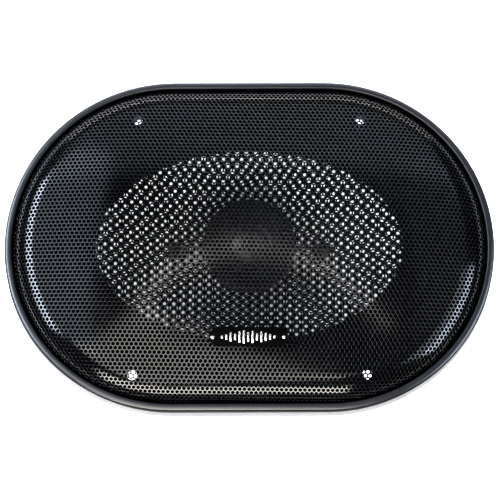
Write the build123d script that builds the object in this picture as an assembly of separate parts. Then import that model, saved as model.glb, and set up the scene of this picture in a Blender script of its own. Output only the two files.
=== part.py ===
from build123d import *
import math
import os

os.makedirs("parts", exist_ok=True)

# Coaxial car speaker, 6 x 9 inch class. Millimetres. +Z is the way the sound goes, +X the long
# way of the oval. The speaker stands on the back of its magnet at z = 0, centred on x = y = 0.

# ---- driving dimensions: outlines of the front
RIM_L, RIM_W = 241.4, 166.0  # grille rim, a stadium: two half circles and two straights
RIM_BOTTOM_Z, RIM_TOP_Z = 81.4, 90.6
RIM_BAND = 4.0  # width of the rounded bead, seen from the front
BEAD_OUT_R, BEAD_IN_R = 2.2, 1.2  # roundings of the bead, outside and inside
SKIRT_T = 1.8  # wall of the rim's skirt
GASKET_PROUD = 1.6  # the foam stands this far outside the rim
HOLE_X, HOLE_Y, HOLE_R = 57.0, 65.0, 2.5  # four mounting holes, 114 x 130 mm apart

# ---- driving dimensions: perforated dome
DOME_TOP_Z = 104.0
CROWN_R = 340.0  # crown of the dome across the speaker
SHOULDER_R = 20.0
SHOULDER_INSET = 17.5  # where the crown meets the shoulder, inside the outline
DOME_EDGE_DEG = 60.0  # how steep the sheet leaves the rim
SHEET_T = 0.8
BADGE_X, BADGE_Y = -0.6, -48.8
BADGE_L, BADGE_W, BADGE_T = 37.0, 9.0, 1.4
BADGE_STANDOFF = 1.0
PIN_SPACING, PIN_R, PIN_HEAD_R = 33.4, 0.7, 1.1

# ---- driving dimensions: frame, heights from the back
BOOT_LIP = 2.0
YOKE_T, MAGNET_T, TOP_PLATE_T = 6.0, 16.0, 5.0
SEAT_Z = BOOT_LIP + YOKE_T + MAGNET_T + TOP_PLATE_T  # basket seat on the top plate
SHEET_STEEL = 1.2
LANDING_Z = 44.0  # top of the step that the spider is glued to
FLANGE_Z = 81.2  # front face of the flange
FLANGE_L, FLANGE_W = 240.4, 165.0
OPENING_X, OPENING_Y = 94.0, 61.0  # half axes of the oval opening in the flange
GASKET_T = 4.5

# ---- driving dimensions: motor
YOKE_R, MAGNET_R, MAGNET_BORE_R, TOP_PLATE_R = 42.0, 45.0, 23.0, 42.0
POLE_R, GAP_R = 12.5, 14.15
FORMER_R, FORMER_T = 12.9, 0.25
WINDING_T = 0.65
POST_R = 3.1

# ---- driving dimensions: cone and its suspensions
CONE_NECK_Z, CONE_EDGE_Z = 49.5, 81.0
CONE_X, CONE_Y = 76.6, 48.4  # half axes of the visible oval
LIP_WIDTH = 3.4
SURROUND_T = 0.6
ROLL_HEIGHT = 6.4
SPIDER_R = 46.5
EYELET_X = 37.0

# ---- driving dimensions: tweeter pod
POD_R, POD_FLOOR_Z, POD_TOP_Z = 23.0, 64.0, 84.0


def save(node, shape):
    """Write one node; a list becomes a group of separate solids."""
    if isinstance(shape, list):
        shape = Compound(children=shape)
    shape.label = node
    export_step(shape, f"parts/{node}.step")


def ring(r_out, r_in, z0, z1):
    """Flat round ring between two heights."""
    tube = extrude(Plane.XY.offset(z0) * Circle(r_out), z1 - z0)
    if r_in > 0:
        tube -= extrude(Plane.XY.offset(z0) * Circle(r_in), z1 - z0)
    return tube


def stadium(inset, z0, z1, length=RIM_L, width=RIM_W):
    """Upright stadium-shaped block, its outline moved in by inset."""
    outline = SlotOverall(length - 2 * inset, width - 2 * inset)
    return extrude(Plane.XY.offset(z0) * outline, z1 - z0)


def oval(rx, ry, z0, z1):
    """Upright block with an elliptical outline."""
    return extrude(Plane.XY.offset(z0) * Ellipse(rx, ry), z1 - z0)


def oval_ring(outer, inner, z0, z1):
    """Flat ring between two ellipses, each given by its half axes."""
    return oval(*outer, z0, z1) - oval(*inner, z0, z1)


def tapered(rx0, ry0, z0, rx1, ry1, z1):
    """Block whose outline goes from one ellipse to another in straight lines."""
    return loft([Plane.XY.offset(z0) * Ellipse(rx0, ry0), Plane.XY.offset(z1) * Ellipse(rx1, ry1)])


def hole_places():
    return [(sx * HOLE_X, sy * HOLE_Y) for sx in (-1, 1) for sy in (-1, 1)]


def drilled(shape, places, r, z0, z1):
    """Shape with upright round holes at the given places."""
    for x, y in places:
        shape -= Pos(x, y, 0) * ring(r, 0, z0, z1)
    return shape


def turned(points):
    """Solid of revolution about Z from (radius, z) corners."""
    return revolve(Plane.XZ * make_face(Polyline(*points, close=True)), Axis.Z)


def wire_along(points, r):
    """Round wire on straight runs with the largest arcs that fit between them."""
    pts = [Vector(*p) for p in points]
    runs = [(b - a).length for a, b in zip(pts, pts[1:])]
    radii = []
    for i in range(1, len(pts) - 1):
        turn = math.radians((pts[i] - pts[i - 1]).get_angle(pts[i + 1] - pts[i]))
        radii.append(0.45 * min(runs[i - 1], runs[i]) / math.tan(turn / 2))
    path = FilletPolyline(*pts, radius=radii)
    solid = sweep(Plane(origin=path @ 0, z_dir=path % 0) * Circle(r), path=path)
    print(f"wire: {path.length:.1f} mm, radii {[round(v, 1) for v in radii]},"
          f" volume ratio {solid.volume / (math.pi * r * r * path.length):.3f}")
    return solid


def mirrored_x(shape):
    return [shape, mirror(shape, about=Plane.YZ)]


# ---------------------------------------------------------------- grille

def dome_solid(shrink):
    """Dome as a filled block; shrink moves its skin inwards, for the inside of the sheet."""
    straight = (RIM_L - RIM_W) / 2
    top = DOME_TOP_Z - shrink
    crown_r, shoulder_r = CROWN_R - shrink, SHOULDER_R - shrink
    seam = math.asin((RIM_W / 2 - SHOULDER_INSET) / CROWN_R)
    edge = math.radians(DOME_EDGE_DEG)
    crown_c = top - crown_r
    shoulder_c = (CROWN_R - SHOULDER_R) * math.sin(seam), crown_c + (CROWN_R - SHOULDER_R) * math.cos(seam)

    def on_crown(a):
        return crown_r * math.sin(a), crown_c + crown_r * math.cos(a)

    def on_shoulder(a):
        return shoulder_c[0] + shoulder_r * math.sin(a), shoulder_c[1] + shoulder_r * math.cos(a)

    p_seam, p_edge = on_crown(seam), on_shoulder(edge)
    # straight on down along the edge's slope, so that the cut at the rim leaves a clean wall
    run_out = 6.0
    p_foot = p_edge[0] + run_out * math.cos(edge), p_edge[1] - run_out * math.sin(edge)
    skin = [
        ThreePointArc((0, top), on_crown(seam / 2), p_seam),
        ThreePointArc(p_seam, on_shoulder((seam + edge) / 2), p_edge),
        Line(p_edge, p_foot),
        Polyline(p_foot, (0, p_foot[1]), (0, top)),
    ]
    half = make_face(Curve() + skin)
    end = revolve(Plane.XZ * half, Axis.Z, revolution_arc=360)
    bar_half = extrude(Plane.YZ * half, straight, both=True)
    bar = bar_half + mirror(bar_half, about=Plane.XZ)
    return bar + Pos(straight, 0, 0) * end + Pos(-straight, 0, 0) * end


def dome_edge_z():
    """Height at which the sheet's outside meets its clamped edge."""
    seam = math.asin((RIM_W / 2 - SHOULDER_INSET) / CROWN_R)
    centre_z = DOME_TOP_Z - CROWN_R + (CROWN_R - SHOULDER_R) * math.cos(seam)
    return centre_z + SHOULDER_R * math.cos(math.radians(DOME_EDGE_DEG))


def badge_plane():
    """Plane on the dome's skin under the badge."""
    lean = math.asin(-BADGE_Y / CROWN_R)
    z = DOME_TOP_Z - CROWN_R * (1 - math.cos(lean))
    return Plane(origin=(BADGE_X, BADGE_Y, z), x_dir=(1, 0, 0), z_dir=(0, -math.sin(lean), math.cos(lean)))


def make_grille():
    edge_z = dome_edge_z()
    rim = stadium(0, RIM_BOTTOM_Z, RIM_TOP_Z) - stadium(RIM_BAND, RIM_BOTTOM_Z, RIM_TOP_Z)
    rim -= stadium(SKIRT_T, RIM_BOTTOM_Z, edge_z)
    rim = fillet(crest_edges(rim, 0), BEAD_OUT_R)
    rim = fillet(crest_edges(rim, RIM_BAND), BEAD_IN_R)
    save("grille_rim", rim)

    keep = stadium(-5, edge_z - SHEET_T, DOME_TOP_Z + 5)
    shell = (dome_solid(0) & keep) - dome_solid(SHEET_T)
    collar = stadium(SKIRT_T + 0.2, edge_z - SHEET_T, edge_z)
    collar -= stadium(SKIRT_T + 3.2, edge_z - SHEET_T, edge_z)
    collar -= dome_solid(SHEET_T)
    shell += collar
    skin = badge_plane()
    for side in (-1, 1):
        shell -= skin * Pos(side * PIN_SPACING / 2, 0, -3) * ring(PIN_R + 0.2, 0, 0, 6)
    save("grille_mesh", shell)

    z1 = edge_z - SHEET_T
    retainer = stadium(SKIRT_T + 0.2, z1 - 1.5, z1) - stadium(8.0, z1 - 1.5, z1)
    for x, y in peg_places():
        retainer += Pos(x, y, 0) * ring(2.0, 0, FLANGE_Z + 0.6, z1 - 1.5)
    save("grille_retainer", retainer)

    plate = skin * Pos(0, 0, BADGE_STANDOFF) * extrude(SlotOverall(BADGE_L, BADGE_W), BADGE_T)
    pins, nuts = [], []
    for side in (-1, 1):
        place = skin * Pos(side * PIN_SPACING / 2, 0, 0)
        plate -= place * ring(PIN_R + 0.05, 0, 0, 4)
        pins.append(place * turned(pin_profile()))
        nuts.append(place * Pos(0, 0, -SHEET_T - 0.7) * ring(2.2, PIN_R + 0.03, 0, 0.6))
    save("badge_plate", plate)
    save("badge_pins", pins)
    save("badge_push_nuts", nuts)


def crest_edges(rim, inset):
    """Edges on top of the rim that follow its outline moved in by inset."""
    straight = (RIM_L - RIM_W) / 2
    found = []
    for e in rim.edges():
        p = e @ 0.5
        reach = math.hypot(max(abs(p.X) - straight, 0), p.Y)
        if abs(p.Z - RIM_TOP_Z) < 0.01 and abs(reach - (RIM_W / 2 - inset)) < 0.05:
            found.append(e)
    return found


def pin_profile():
    top = BADGE_STANDOFF + BADGE_T
    stem = [(0, -3.0), (PIN_R, -3.0), (PIN_R, top)]
    return stem + [(PIN_HEAD_R, top), (PIN_HEAD_R - 0.2, top + 0.4), (0, top + 0.6)]


def peg_places():
    """Snap pegs of the grille, in the ring's raised border."""
    along, across = RIM_L / 2 - 5.2, RIM_W / 2 - 5.2
    return [(along, 0), (-along, 0)] + [(sx * 30.0, sy * across) for sx in (-1, 1) for sy in (-1, 1)]


# ---------------------------------------------------------------- mounting frame

def make_mounting_ring():
    top, border_top = FLANGE_Z + 1.9, 85.6
    body = stadium(2.3, FLANGE_Z, top) - oval(100.4, 67.4, FLANGE_Z, top)
    body += stadium(2.3, top, border_top) - stadium(8.4, top, border_top)
    body = drilled(body, peg_places(), 2.1, FLANGE_Z, border_top)
    for x, y in hole_places():
        body += Pos(x, y, 0) * ring(5.0, 0, FLANGE_Z, top + 0.6)
    body = drilled(body, hole_places(), HOLE_R, FLANGE_Z, border_top)
    save("mounting_ring", body)


def make_foam_gasket():
    z1 = FLANGE_Z - SHEET_STEEL
    foam = stadium(-GASKET_PROUD, z1 - GASKET_T, z1) - oval(98, 65, z1 - GASKET_T, z1)
    save("foam_gasket", drilled(foam, hole_places(), HOLE_R + 0.5, z1 - GASKET_T, z1))


def leg_windows():
    """Four wedges that leave the basket's legs standing between them."""
    z0, z1, far = LANDING_Z + 3.5, FLANGE_Z - 6, 140.0
    wedges = None
    for middle, half in ((0, 27), (90, 41), (180, 27), (270, 41)):
        a, b = math.radians(middle - half), math.radians(middle + half)
        corner = [(0, 0), (far * math.cos(a), far * math.sin(a)), (far * math.cos(b), far * math.sin(b))]
        if half > 30:
            tip = math.radians(middle)
            corner.insert(2, (far * 1.4 * math.cos(tip), far * 1.4 * math.sin(tip)))
        wedge = extrude(Plane.XY.offset(z0) * make_face(Polyline(*corner, close=True)), z1 - z0)
        wedges = wedge if wedges is None else wedges + wedge
    return wedges


def make_basket():
    t, under = SHEET_STEEL, FLANGE_Z - SHEET_STEEL
    landing_under = LANDING_Z - t
    landing_r, well_r = 50.0, 38.0
    flange = stadium(0, under, FLANGE_Z, FLANGE_L, FLANGE_W) - oval(OPENING_X, OPENING_Y, under, FLANGE_Z)
    flange = drilled(flange, hole_places(), HOLE_R, under, FLANGE_Z)
    legs = tapered(landing_r + t, landing_r + t, landing_under, OPENING_X + t, OPENING_Y + t, under)
    legs -= tapered(landing_r, landing_r, landing_under, OPENING_X, OPENING_Y, under)
    legs -= leg_windows()
    legs -= Pos(0, 52, 0) * extrude(Plane.XY.offset(LANDING_Z) * Rectangle(30, 12), 5)
    landing = ring(landing_r + t, well_r, landing_under, LANDING_Z)
    well = ring(well_r + t, well_r, SEAT_Z, LANDING_Z)
    floor = ring(well_r + t, GAP_R + 1.4, SEAT_Z, SEAT_Z + t)
    floor = drilled(floor, rivet_places(), 1.6, SEAT_Z, SEAT_Z + t)
    tab = Pos(0, 55.5, 0) * extrude(Plane.XY.offset(landing_under) * Rectangle(28, 13), t)
    tab -= ring(landing_r, 0, landing_under, LANDING_Z)
    tab = drilled(tab, board_rivet_places(), 1.1, landing_under, LANDING_Z)
    save("basket", flange + legs + landing + well + floor + tab)


def rivet_places():
    return [(28 * math.cos(math.radians(a)), 28 * math.sin(math.radians(a))) for a in (45, 135, 225, 315)]


def board_rivet_places():
    return [(-6.5, 56.5), (6.5, 56.5)]


def make_rivets():
    """Basket to top plate."""
    profile = [(0, SEAT_Z - TOP_PLATE_T + 1), (1.5, SEAT_Z - TOP_PLATE_T + 1), (1.5, SEAT_Z + SHEET_STEEL)]
    head = [(2.8, SEAT_Z + SHEET_STEEL), (2.4, SEAT_Z + SHEET_STEEL + 1.1), (0, SEAT_Z + SHEET_STEEL + 1.4)]
    profile += head
    save("basket_rivets", [Pos(x, y, 0) * turned(profile) for x, y in rivet_places()])


# ---------------------------------------------------------------- motor

def make_motor():
    yoke_top = BOOT_LIP + YOKE_T
    magnet_top = yoke_top + MAGNET_T
    yoke = ring(YOKE_R, 0, BOOT_LIP, yoke_top) + ring(POLE_R, 0, yoke_top, SEAT_Z + 0.5)
    yoke -= ring(POST_R + 0.1, 0, BOOT_LIP, SEAT_Z + 0.5) + ring(8.5, 0, BOOT_LIP, BOOT_LIP + 4)
    save("yoke_with_pole", yoke)
    ease = 1.0
    ferrite = [(MAGNET_BORE_R, yoke_top), (MAGNET_R - ease, yoke_top), (MAGNET_R, yoke_top + ease)]
    ferrite += [(MAGNET_R, magnet_top - ease), (MAGNET_R - ease, magnet_top), (MAGNET_BORE_R, magnet_top)]
    save("ring_magnet", turned(ferrite))
    plate = ring(TOP_PLATE_R, GAP_R, magnet_top, SEAT_Z)
    save("top_plate", drilled(plate, rivet_places(), 1.6, SEAT_Z - TOP_PLATE_T, SEAT_Z))
    boot_r, boot_top = MAGNET_R + 2.4, magnet_top - 2
    boot = [(34, 0), (boot_r - 1.5, 0), (boot_r, 1.5), (boot_r, boot_top - 0.8), (boot_r - 0.8, boot_top)]
    boot += [(MAGNET_R + 0.2, boot_top), (MAGNET_R + 0.2, BOOT_LIP), (34, BOOT_LIP)]
    save("magnet_boot", turned(boot))


def make_post():
    pole_top = SEAT_Z + 0.5
    profile = [(0, 2.6), (POST_R, 2.6), (POST_R, pole_top), (6, pole_top), (6, pole_top + 3)]
    profile += [(4, pole_top + 5), (4, POD_FLOOR_Z - 4), (8, POD_FLOOR_Z - 2), (8, POD_FLOOR_Z)]
    profile += [(2.5, POD_FLOOR_Z), (2.5, POD_FLOOR_Z + 2), (0, POD_FLOOR_Z + 2)]
    save("centre_post", turned(profile))
    nut = extrude(Plane.XY.offset(BOOT_LIP + 0.8) * RegularPolygon(6.2, 6), 3.2)
    save("post_nut", nut - ring(POST_R + 0.02, 0, BOOT_LIP, BOOT_LIP + 5))


# ---------------------------------------------------------------- moving assembly

def make_cone():
    lip_z = CONE_EDGE_Z
    skin = tapered(14.0, 14.0, CONE_NECK_Z, CONE_X + 0.9, CONE_Y + 0.9, lip_z)
    neck_r = FORMER_R + FORMER_T + 0.01
    skin -= tapered(neck_r, neck_r, CONE_NECK_Z, CONE_X, CONE_Y, lip_z)
    skin += oval_ring((CONE_X + LIP_WIDTH, CONE_Y + LIP_WIDTH), (CONE_X, CONE_Y), lip_z, lip_z + 0.5)
    skin = drilled(skin, [(-EYELET_X, 0), (EYELET_X, 0)], 1.7, CONE_NECK_Z, lip_z)
    save("cone", skin)

    eyelet = ring(1.6, 0.6, 59.4, 66.0) + ring(2.6, 0.6, 65.2, 66.0)
    save("cone_eyelets", mirrored_x(Pos(EYELET_X, 0, 0) * eyelet))


def make_voice_coil():
    r0, r1 = FORMER_R, FORMER_R + FORMER_T
    save("coil_former", ring(r1, r0, 19.0, CONE_NECK_Z + 1.0))
    save("coil_winding", ring(r1 + WINDING_T, r1, 20.0, 33.0))


def make_surround():
    """Rubber half roll, here as straight-sided walls, with its two glued feet."""
    z0, t = CONE_EDGE_Z + 0.5, SURROUND_T
    inner = (CONE_X + LIP_WIDTH - 1, CONE_Y + LIP_WIDTH - 1)
    outer = (OPENING_X + 1, OPENING_Y + 1)
    crest_in, crest_out = (inner[0] + 4.5, inner[1] + 3.4), (outer[0] - 4.5, outer[1] - 3.4)
    top = z0 + ROLL_HEIGHT
    block = tapered(*outer, z0, *crest_out, top) - tapered(*inner, z0, *crest_in, top)
    hollow = tapered(outer[0] - t, outer[1] - t, z0, crest_out[0] - t, crest_out[1] - t, top - t)
    hollow -= tapered(inner[0] + t, inner[1] + t, z0, crest_in[0] + t, crest_in[1] + t, top - t)
    foot_in = oval_ring((inner[0] + t, inner[1] + t), (CONE_X, CONE_Y), z0, z0 + t)
    foot_out = oval_ring((100, 67), (outer[0] - t, outer[1] - t), FLANGE_Z, z0 + t)
    save("surround", (block - hollow) + foot_in + foot_out)
    save("surround_trim", oval_ring((100, 67), (96.5, 63.5), z0 + t, z0 + t + 1.6))


def make_spider():
    """Corrugated fabric disc: a zigzag turned about the axis."""
    r_in, foot = FORMER_R + FORMER_T + 0.02, 41.5
    folds, height, t = 10, 1.6, 0.5
    upper = [(r_in, LANDING_Z + t), (r_in + 1.5, LANDING_Z + t)]
    step = (foot - r_in - 1.5) / folds
    for i in range(1, folds):
        upper.append((r_in + 1.5 + i * step, LANDING_Z + t + (height if i % 2 else 0)))
    upper += [(foot, LANDING_Z + t), (SPIDER_R, LANDING_Z + t)]
    lower = [(r, z - t) for r, z in reversed(upper)]
    save("spider", turned(upper + lower))


def make_leads():
    tinsel = [(6.5, 52.0, 47.4), (8.5, 44.0, 47.4), (13.5, 35.0, 48.2), (20.5, 26.0, 49.4)]
    tinsel += [(28.0, 17.0, 50.4), (34.2, 8.0, 51.2), (36.6, 1.6, 53.4), (37.0, 0.0, 56.4)]
    tinsel += [(37.0, 0.0, 59.4)]
    save("tinsel_leads", mirrored_x(wire_along(tinsel, 0.6)))
    tweeter = [(37.0, 0.0, 66.0), (36.2, 0.0, 69.0), (33.6, 0.4, 71.2), (30.2, 0.8, 72.4)]
    tweeter += [(26.8, 0.4, 72.6), (POD_R + 0.02, 0.0, 72.4)]
    save("tweeter_leads", mirrored_x(wire_along(tweeter, 0.5)))


# ---------------------------------------------------------------- terminals

def make_terminals():
    board = Pos(0, 56.5, 0) * extrude(Plane.XY.offset(LANDING_Z) * RectangleRounded(25, 11, 1), 1.6)
    save("terminal_board", drilled(board, board_rivet_places(), 1.1, LANDING_Z, LANDING_Z + 2))
    z = LANDING_Z + 1.6
    for name, x, width in (("terminal_positive", 6.5, 6.3), ("terminal_negative", -6.5, 4.8)):
        blade = Pos(x, 62.0, 0) * extrude(Plane.XY.offset(z) * Rectangle(width, 20), 0.8)
        tip = [e for e in blade.edges().filter_by(Axis.Z) if e.center().Y > 70]
        blade = chamfer(tip, 1.2)
        blade += Pos(x, 52.0, 0) * ring(1.5, 0, z, 46.8)
        save(name, drilled(blade, [(x, 56.5)], 1.1, z, z + 0.8))
    profile = [(0, LANDING_Z - 2.2), (1.8, LANDING_Z - 2.0), (1.8, LANDING_Z - SHEET_STEEL)]
    profile += [(1.05, LANDING_Z - SHEET_STEEL), (1.05, z + 0.8), (1.8, z + 0.8), (1.6, z + 1.5), (0, z + 1.7)]
    save("terminal_rivets", [Pos(x, y, 0) * turned(profile) for x, y in board_rivet_places()])


# ---------------------------------------------------------------- tweeter pod

def make_pod():
    floor, wall_top = POD_FLOOR_Z, POD_TOP_Z - 2
    outside = [(2.55, floor), (13, floor), (21, floor + 4.5), (POD_R, floor + 7.5), (POD_R, wall_top)]
    inside = [(POD_R - 1.5, wall_top), (POD_R - 1.5, floor + 8), (20, floor + 6)]
    inside += [(12.6, floor + 2), (2.55, floor + 2)]
    save("pod_housing", turned(outside + inside))

    face = [(14.6, wall_top + 1.0), (15.2, wall_top), (POD_R, wall_top), (POD_R, POD_TOP_Z - 0.8)]
    face += [(POD_R - 0.8, POD_TOP_Z), (POD_R - 3, POD_TOP_Z), (15.0, wall_top + 1.3)]
    bezel = turned(face)
    spoke_z = wall_top + 1.0
    for angle in (90, 210, 330):
        spoke = Pos(9.0, 0, 0) * extrude(Plane.XY.offset(spoke_z) * Rectangle(12.4, 1.6), 0.9)
        bezel += Rot(0, 0, angle) * spoke
    bezel += ring(3.6, 0, spoke_z, spoke_z + 1.1)
    save("pod_bezel", bezel)

    carrier_z = floor + 11
    save("tweeter_carrier", ring(POD_R - 1.6, 12.1, carrier_z, carrier_z + 3))
    cup = ring(12.0, 10.4, floor + 2.2, carrier_z + 0.4) + ring(12.0, 0, floor + 2.2, floor + 4.2)
    save("tweeter_cup", cup)
    save("tweeter_magnet", ring(8.4, 0, floor + 4.2, floor + 8.6))
    save("tweeter_plate", ring(9.0, 0, floor + 8.6, floor + 11.0))
    save("tweeter_coil", ring(9.95, 9.45, floor + 7.6, carrier_z + 3.0))
    edge_z = carrier_z + 3.0
    dome_h, dome_t, dome_rim = 3.4, 0.3, 10.0
    sphere_r = (dome_rim**2 + dome_h**2) / (2 * dome_h)
    cap = Pos(0, 0, edge_z + dome_h - sphere_r) * (Sphere(sphere_r) - Sphere(sphere_r - dome_t))
    save("tweeter_dome", cap & ring(dome_rim, 0, edge_z, edge_z + 6))
    edge = [(10.05, edge_z + 0.1), (11.4, edge_z + 1.0), (12.8, edge_z), (16.0, edge_z)]
    edge += [(16.0, edge_z + 0.3), (12.95, edge_z + 0.3), (11.4, edge_z + 1.35), (10.05, edge_z + 0.45)]
    save("tweeter_edge", turned(edge))
    body = Pos(0, 16.9, floor + 8.4) * Rot(0, 90, 0) * Pos(0, 0, -5.5) * ring(2.5, 0, 0, 11)
    save("crossover_capacitor", body)


make_grille()
make_mounting_ring()
make_foam_gasket()
make_basket()
make_rivets()
make_motor()
make_post()
make_cone()
make_voice_coil()
make_surround()
make_spider()
make_leads()
make_terminals()
make_pod()
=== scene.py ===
# %% [markdown]
# # A coaxial car speaker
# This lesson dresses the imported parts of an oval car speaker: a black grille with a domed,
# punched sheet, and behind it a woven cone, a rubber roll, a tweeter pod, a pressed basket and a
# ring magnet. The parts arrive at their real size, so every new piece is made in metres, in
# place.

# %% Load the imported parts
import math

import bmesh
import bpy
from mathutils import Matrix, Vector


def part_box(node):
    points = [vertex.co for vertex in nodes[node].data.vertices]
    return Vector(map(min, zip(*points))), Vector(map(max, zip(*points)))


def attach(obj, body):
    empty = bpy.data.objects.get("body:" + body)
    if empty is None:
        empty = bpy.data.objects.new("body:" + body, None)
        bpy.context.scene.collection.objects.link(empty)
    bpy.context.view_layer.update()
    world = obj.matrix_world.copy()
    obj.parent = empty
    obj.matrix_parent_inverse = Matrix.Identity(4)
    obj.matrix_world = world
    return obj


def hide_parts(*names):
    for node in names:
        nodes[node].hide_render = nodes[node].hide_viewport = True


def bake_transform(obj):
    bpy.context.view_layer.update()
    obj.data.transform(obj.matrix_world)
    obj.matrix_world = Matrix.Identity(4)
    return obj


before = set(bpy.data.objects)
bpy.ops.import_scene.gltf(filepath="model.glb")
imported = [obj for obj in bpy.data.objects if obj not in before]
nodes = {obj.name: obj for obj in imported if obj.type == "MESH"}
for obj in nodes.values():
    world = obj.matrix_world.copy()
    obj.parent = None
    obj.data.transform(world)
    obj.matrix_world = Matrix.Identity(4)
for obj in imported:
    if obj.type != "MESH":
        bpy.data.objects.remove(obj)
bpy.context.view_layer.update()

MM = 0.001

# %% [markdown]
# ## The camera
# The speaker faces up, and the camera looks down on it from the near long side, about twelve
# degrees off its axis. It aims a little below the middle of the grille, which leaves more floor
# under the speaker than over it, so no lens shift is needed.

# %% Camera
scene = bpy.context.scene
scene.view_settings.view_transform = "Standard"
scene.view_settings.look = "Very High Contrast"
rim_low, rim_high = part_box("grille_rim")
rim_plane = 88.6 * MM
EYE_BACK, EYE_UP, FOCAL_LENGTH = 108 * MM, 469 * MM, 70.3
camera_place = Vector((0, -EYE_BACK, rim_plane + EYE_UP))
camera_aim = Vector((0.3 * MM, -4.4 * MM, rim_plane))
lens = bpy.data.cameras.new("camera")
lens.lens, lens.sensor_width = FOCAL_LENGTH, 36
camera = bpy.data.objects.new("camera", lens)
camera.location = camera_place
camera.rotation_euler = (camera_aim - camera_place).to_track_quat("-Z", "Y").to_euler()
scene.collection.objects.link(camera)
scene.camera = camera
print("camera distance:", round((camera_aim - camera_place).length, 3))

# %% [markdown]
# ## Floor and light
# A white table and soft lamps show black paint by its reflections. A warm, square softbox, turned
# on its corner, hangs above the viewer and fills the near part of the dome with grey. Two narrow
# strips almost straight above draw a bright arch across the middle. At the left a wide, weak lamp
# greys the sheet, and a tall, strong one lights the shoulder and the bead. At the right a low lamp
# does the same, with two weaker ones above it. A wide, dim window lies beyond the far side, and
# low lamps in front and behind light the two long edges.
#
# The woven cone lies deep under the sheet and needs a lamp of its own. That lamp is hidden from
# reflections, so it brightens the cone without a second softbox in the sheet. The air around is a
# very dim blue. The table and the backdrop are staged: they are there for the picture only.

# %% Lamps
target = Vector((0, 0, rim_plane))


def lamp(name, direction, width, height, radiance, color, width_along):
    """Area lamp that faces the target. Its power follows from how bright its face is."""
    light = bpy.data.lights.new(name, "AREA")
    light.shape, light.size, light.size_y = "RECTANGLE", width, height
    light.energy, light.color = radiance * math.pi * width * height, color
    back = Vector(direction).normalized()
    along = Vector(width_along)
    along = (along - along.dot(back) * back).normalized()
    o = bpy.data.objects.new(name, light)
    turned = Matrix((along, back.cross(along), back)).transposed()
    o.matrix_world = Matrix.Translation(target + Vector(direction)) @ turned.to_4x4()
    scene.collection.objects.link(o)
    return o


warm, cool = (1.0, 0.96, 0.90), (0.80, 0.88, 1.0)
lamp("softbox", (-0.28, -0.60, 1.05), 0.89, 0.89, 3.2, warm, (1, 1, 0))
lamp("arch_strip_right", (0.20, 0.018, 1.05), 0.54, 0.030, 4.0, warm, (0.44, -0.42, 0))
lamp("arch_strip_left", (-0.12, 0.095, 1.05), 0.36, 0.035, 5.0, warm, (0.25, 0.27, 0))
lamp("left_sky", (-0.78, 0.15, 0.88), 1.20, 0.75, 2.0, cool, (0, 1, 0))
lamp("left_strip", (-1.05, 0.10, 0.60), 1.20, 0.42, 8.5, cool, (0, 1, 0))
lamp("right_side", (1.10, -0.36, 0.41), 0.85, 0.40, 6.5, cool, (0, 1, 0))
lamp("right_glow", (0.95, -0.36, 0.74), 0.90, 0.44, 2.4, cool, (0, 1, 0))
lamp("window_side", (0, 0.95, 0.90), 2.40, 0.80, 0.95, cool, (1, 0, 0))
lamp("right_sky", (0.72, 0.22, 0.95), 0.90, 0.45, 0.5, cool, (0, 1, 0))
lamp("front_low", (-0.25, -1.15, 0.45), 1.20, 0.50, 7.0, warm, (1, 0, 0))
lamp("back_low", (0, 1.5, 0.14), 2.6, 0.22, 3.0, warm, (1, 0, 0))
cone_fill = lamp("cone_fill", (0.35, -0.75, 1.00), 0.80, 0.80, 5.0, warm, (1, 0, 0))
cone_fill.visible_glossy = False

world = bpy.data.worlds.new("studio_air")
world.use_nodes = True
air = world.node_tree.nodes["Background"]
air.inputs["Color"].default_value = (0.72, 0.82, 1.0, 1)
air.inputs["Strength"].default_value = 0.10
scene.world = world

# %% Table and backdrop
def board_of_the_set(name, half_size, place=(0, 0, 0), tip_deg=0.0):
    """Square board, flat on the ground or tipped up to stand."""
    bm = bmesh.new()
    bmesh.ops.create_grid(bm, x_segments=1, y_segments=1, size=half_size)
    tip = Matrix.Rotation(math.radians(tip_deg), 4, "X")
    bmesh.ops.transform(bm, matrix=Matrix.Translation(place) @ tip, verts=bm.verts)
    mesh = bpy.data.meshes.new(name)
    bm.to_mesh(mesh)
    bm.free()
    o = bpy.data.objects.new(name, mesh)
    scene.collection.objects.link(o)
    return o


floor = board_of_the_set("floor", 4.0)
wall = board_of_the_set("backdrop", 2.0, (0, 2.2, 1.9), 90)
print("set:", floor.name, "and", wall.name)

# %% [markdown]
# ## Making pieces
# New pieces start as a profile or an outline and grow by bmesh operators. `make_piece` turns the
# result into an object: it merges doubled points, points the faces outwards, shades the round
# stretches smooth and keeps true edges sharp. Then the piece rides on its body and stands for its
# plain part, which is hidden; its finish is appended to it afterwards.

# %% Helpers for pieces
MERGE = 0.004 * MM


def make_piece(name, bm, body, stands_for=(), sharp_deg=38, keep_normals=False):
    """Object made of the bmesh; with no body given, it rides on no body."""
    if not keep_normals:
        bmesh.ops.remove_doubles(bm, verts=bm.verts, dist=MERGE)
        bmesh.ops.recalc_face_normals(bm, faces=bm.faces)
    mesh = bpy.data.meshes.new(name)
    bm.to_mesh(mesh)
    bm.free()
    mesh.shade_smooth()
    mesh.set_sharp_from_angle(angle=math.radians(sharp_deg))
    piece = bpy.data.objects.new(name, mesh)
    scene.collection.objects.link(piece)
    if body:
        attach(piece, body)
    if stands_for:
        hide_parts(*stands_for)
    print(f"{name}: {len(mesh.polygons)} faces")
    return piece


def add_loop(bm, points):
    """Closed chain of edges through the points."""
    verts = [bm.verts.new(p) for p in points]
    for a, b in zip(verts, verts[1:] + verts[:1]):
        bm.edges.new((a, b))
    return verts


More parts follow.
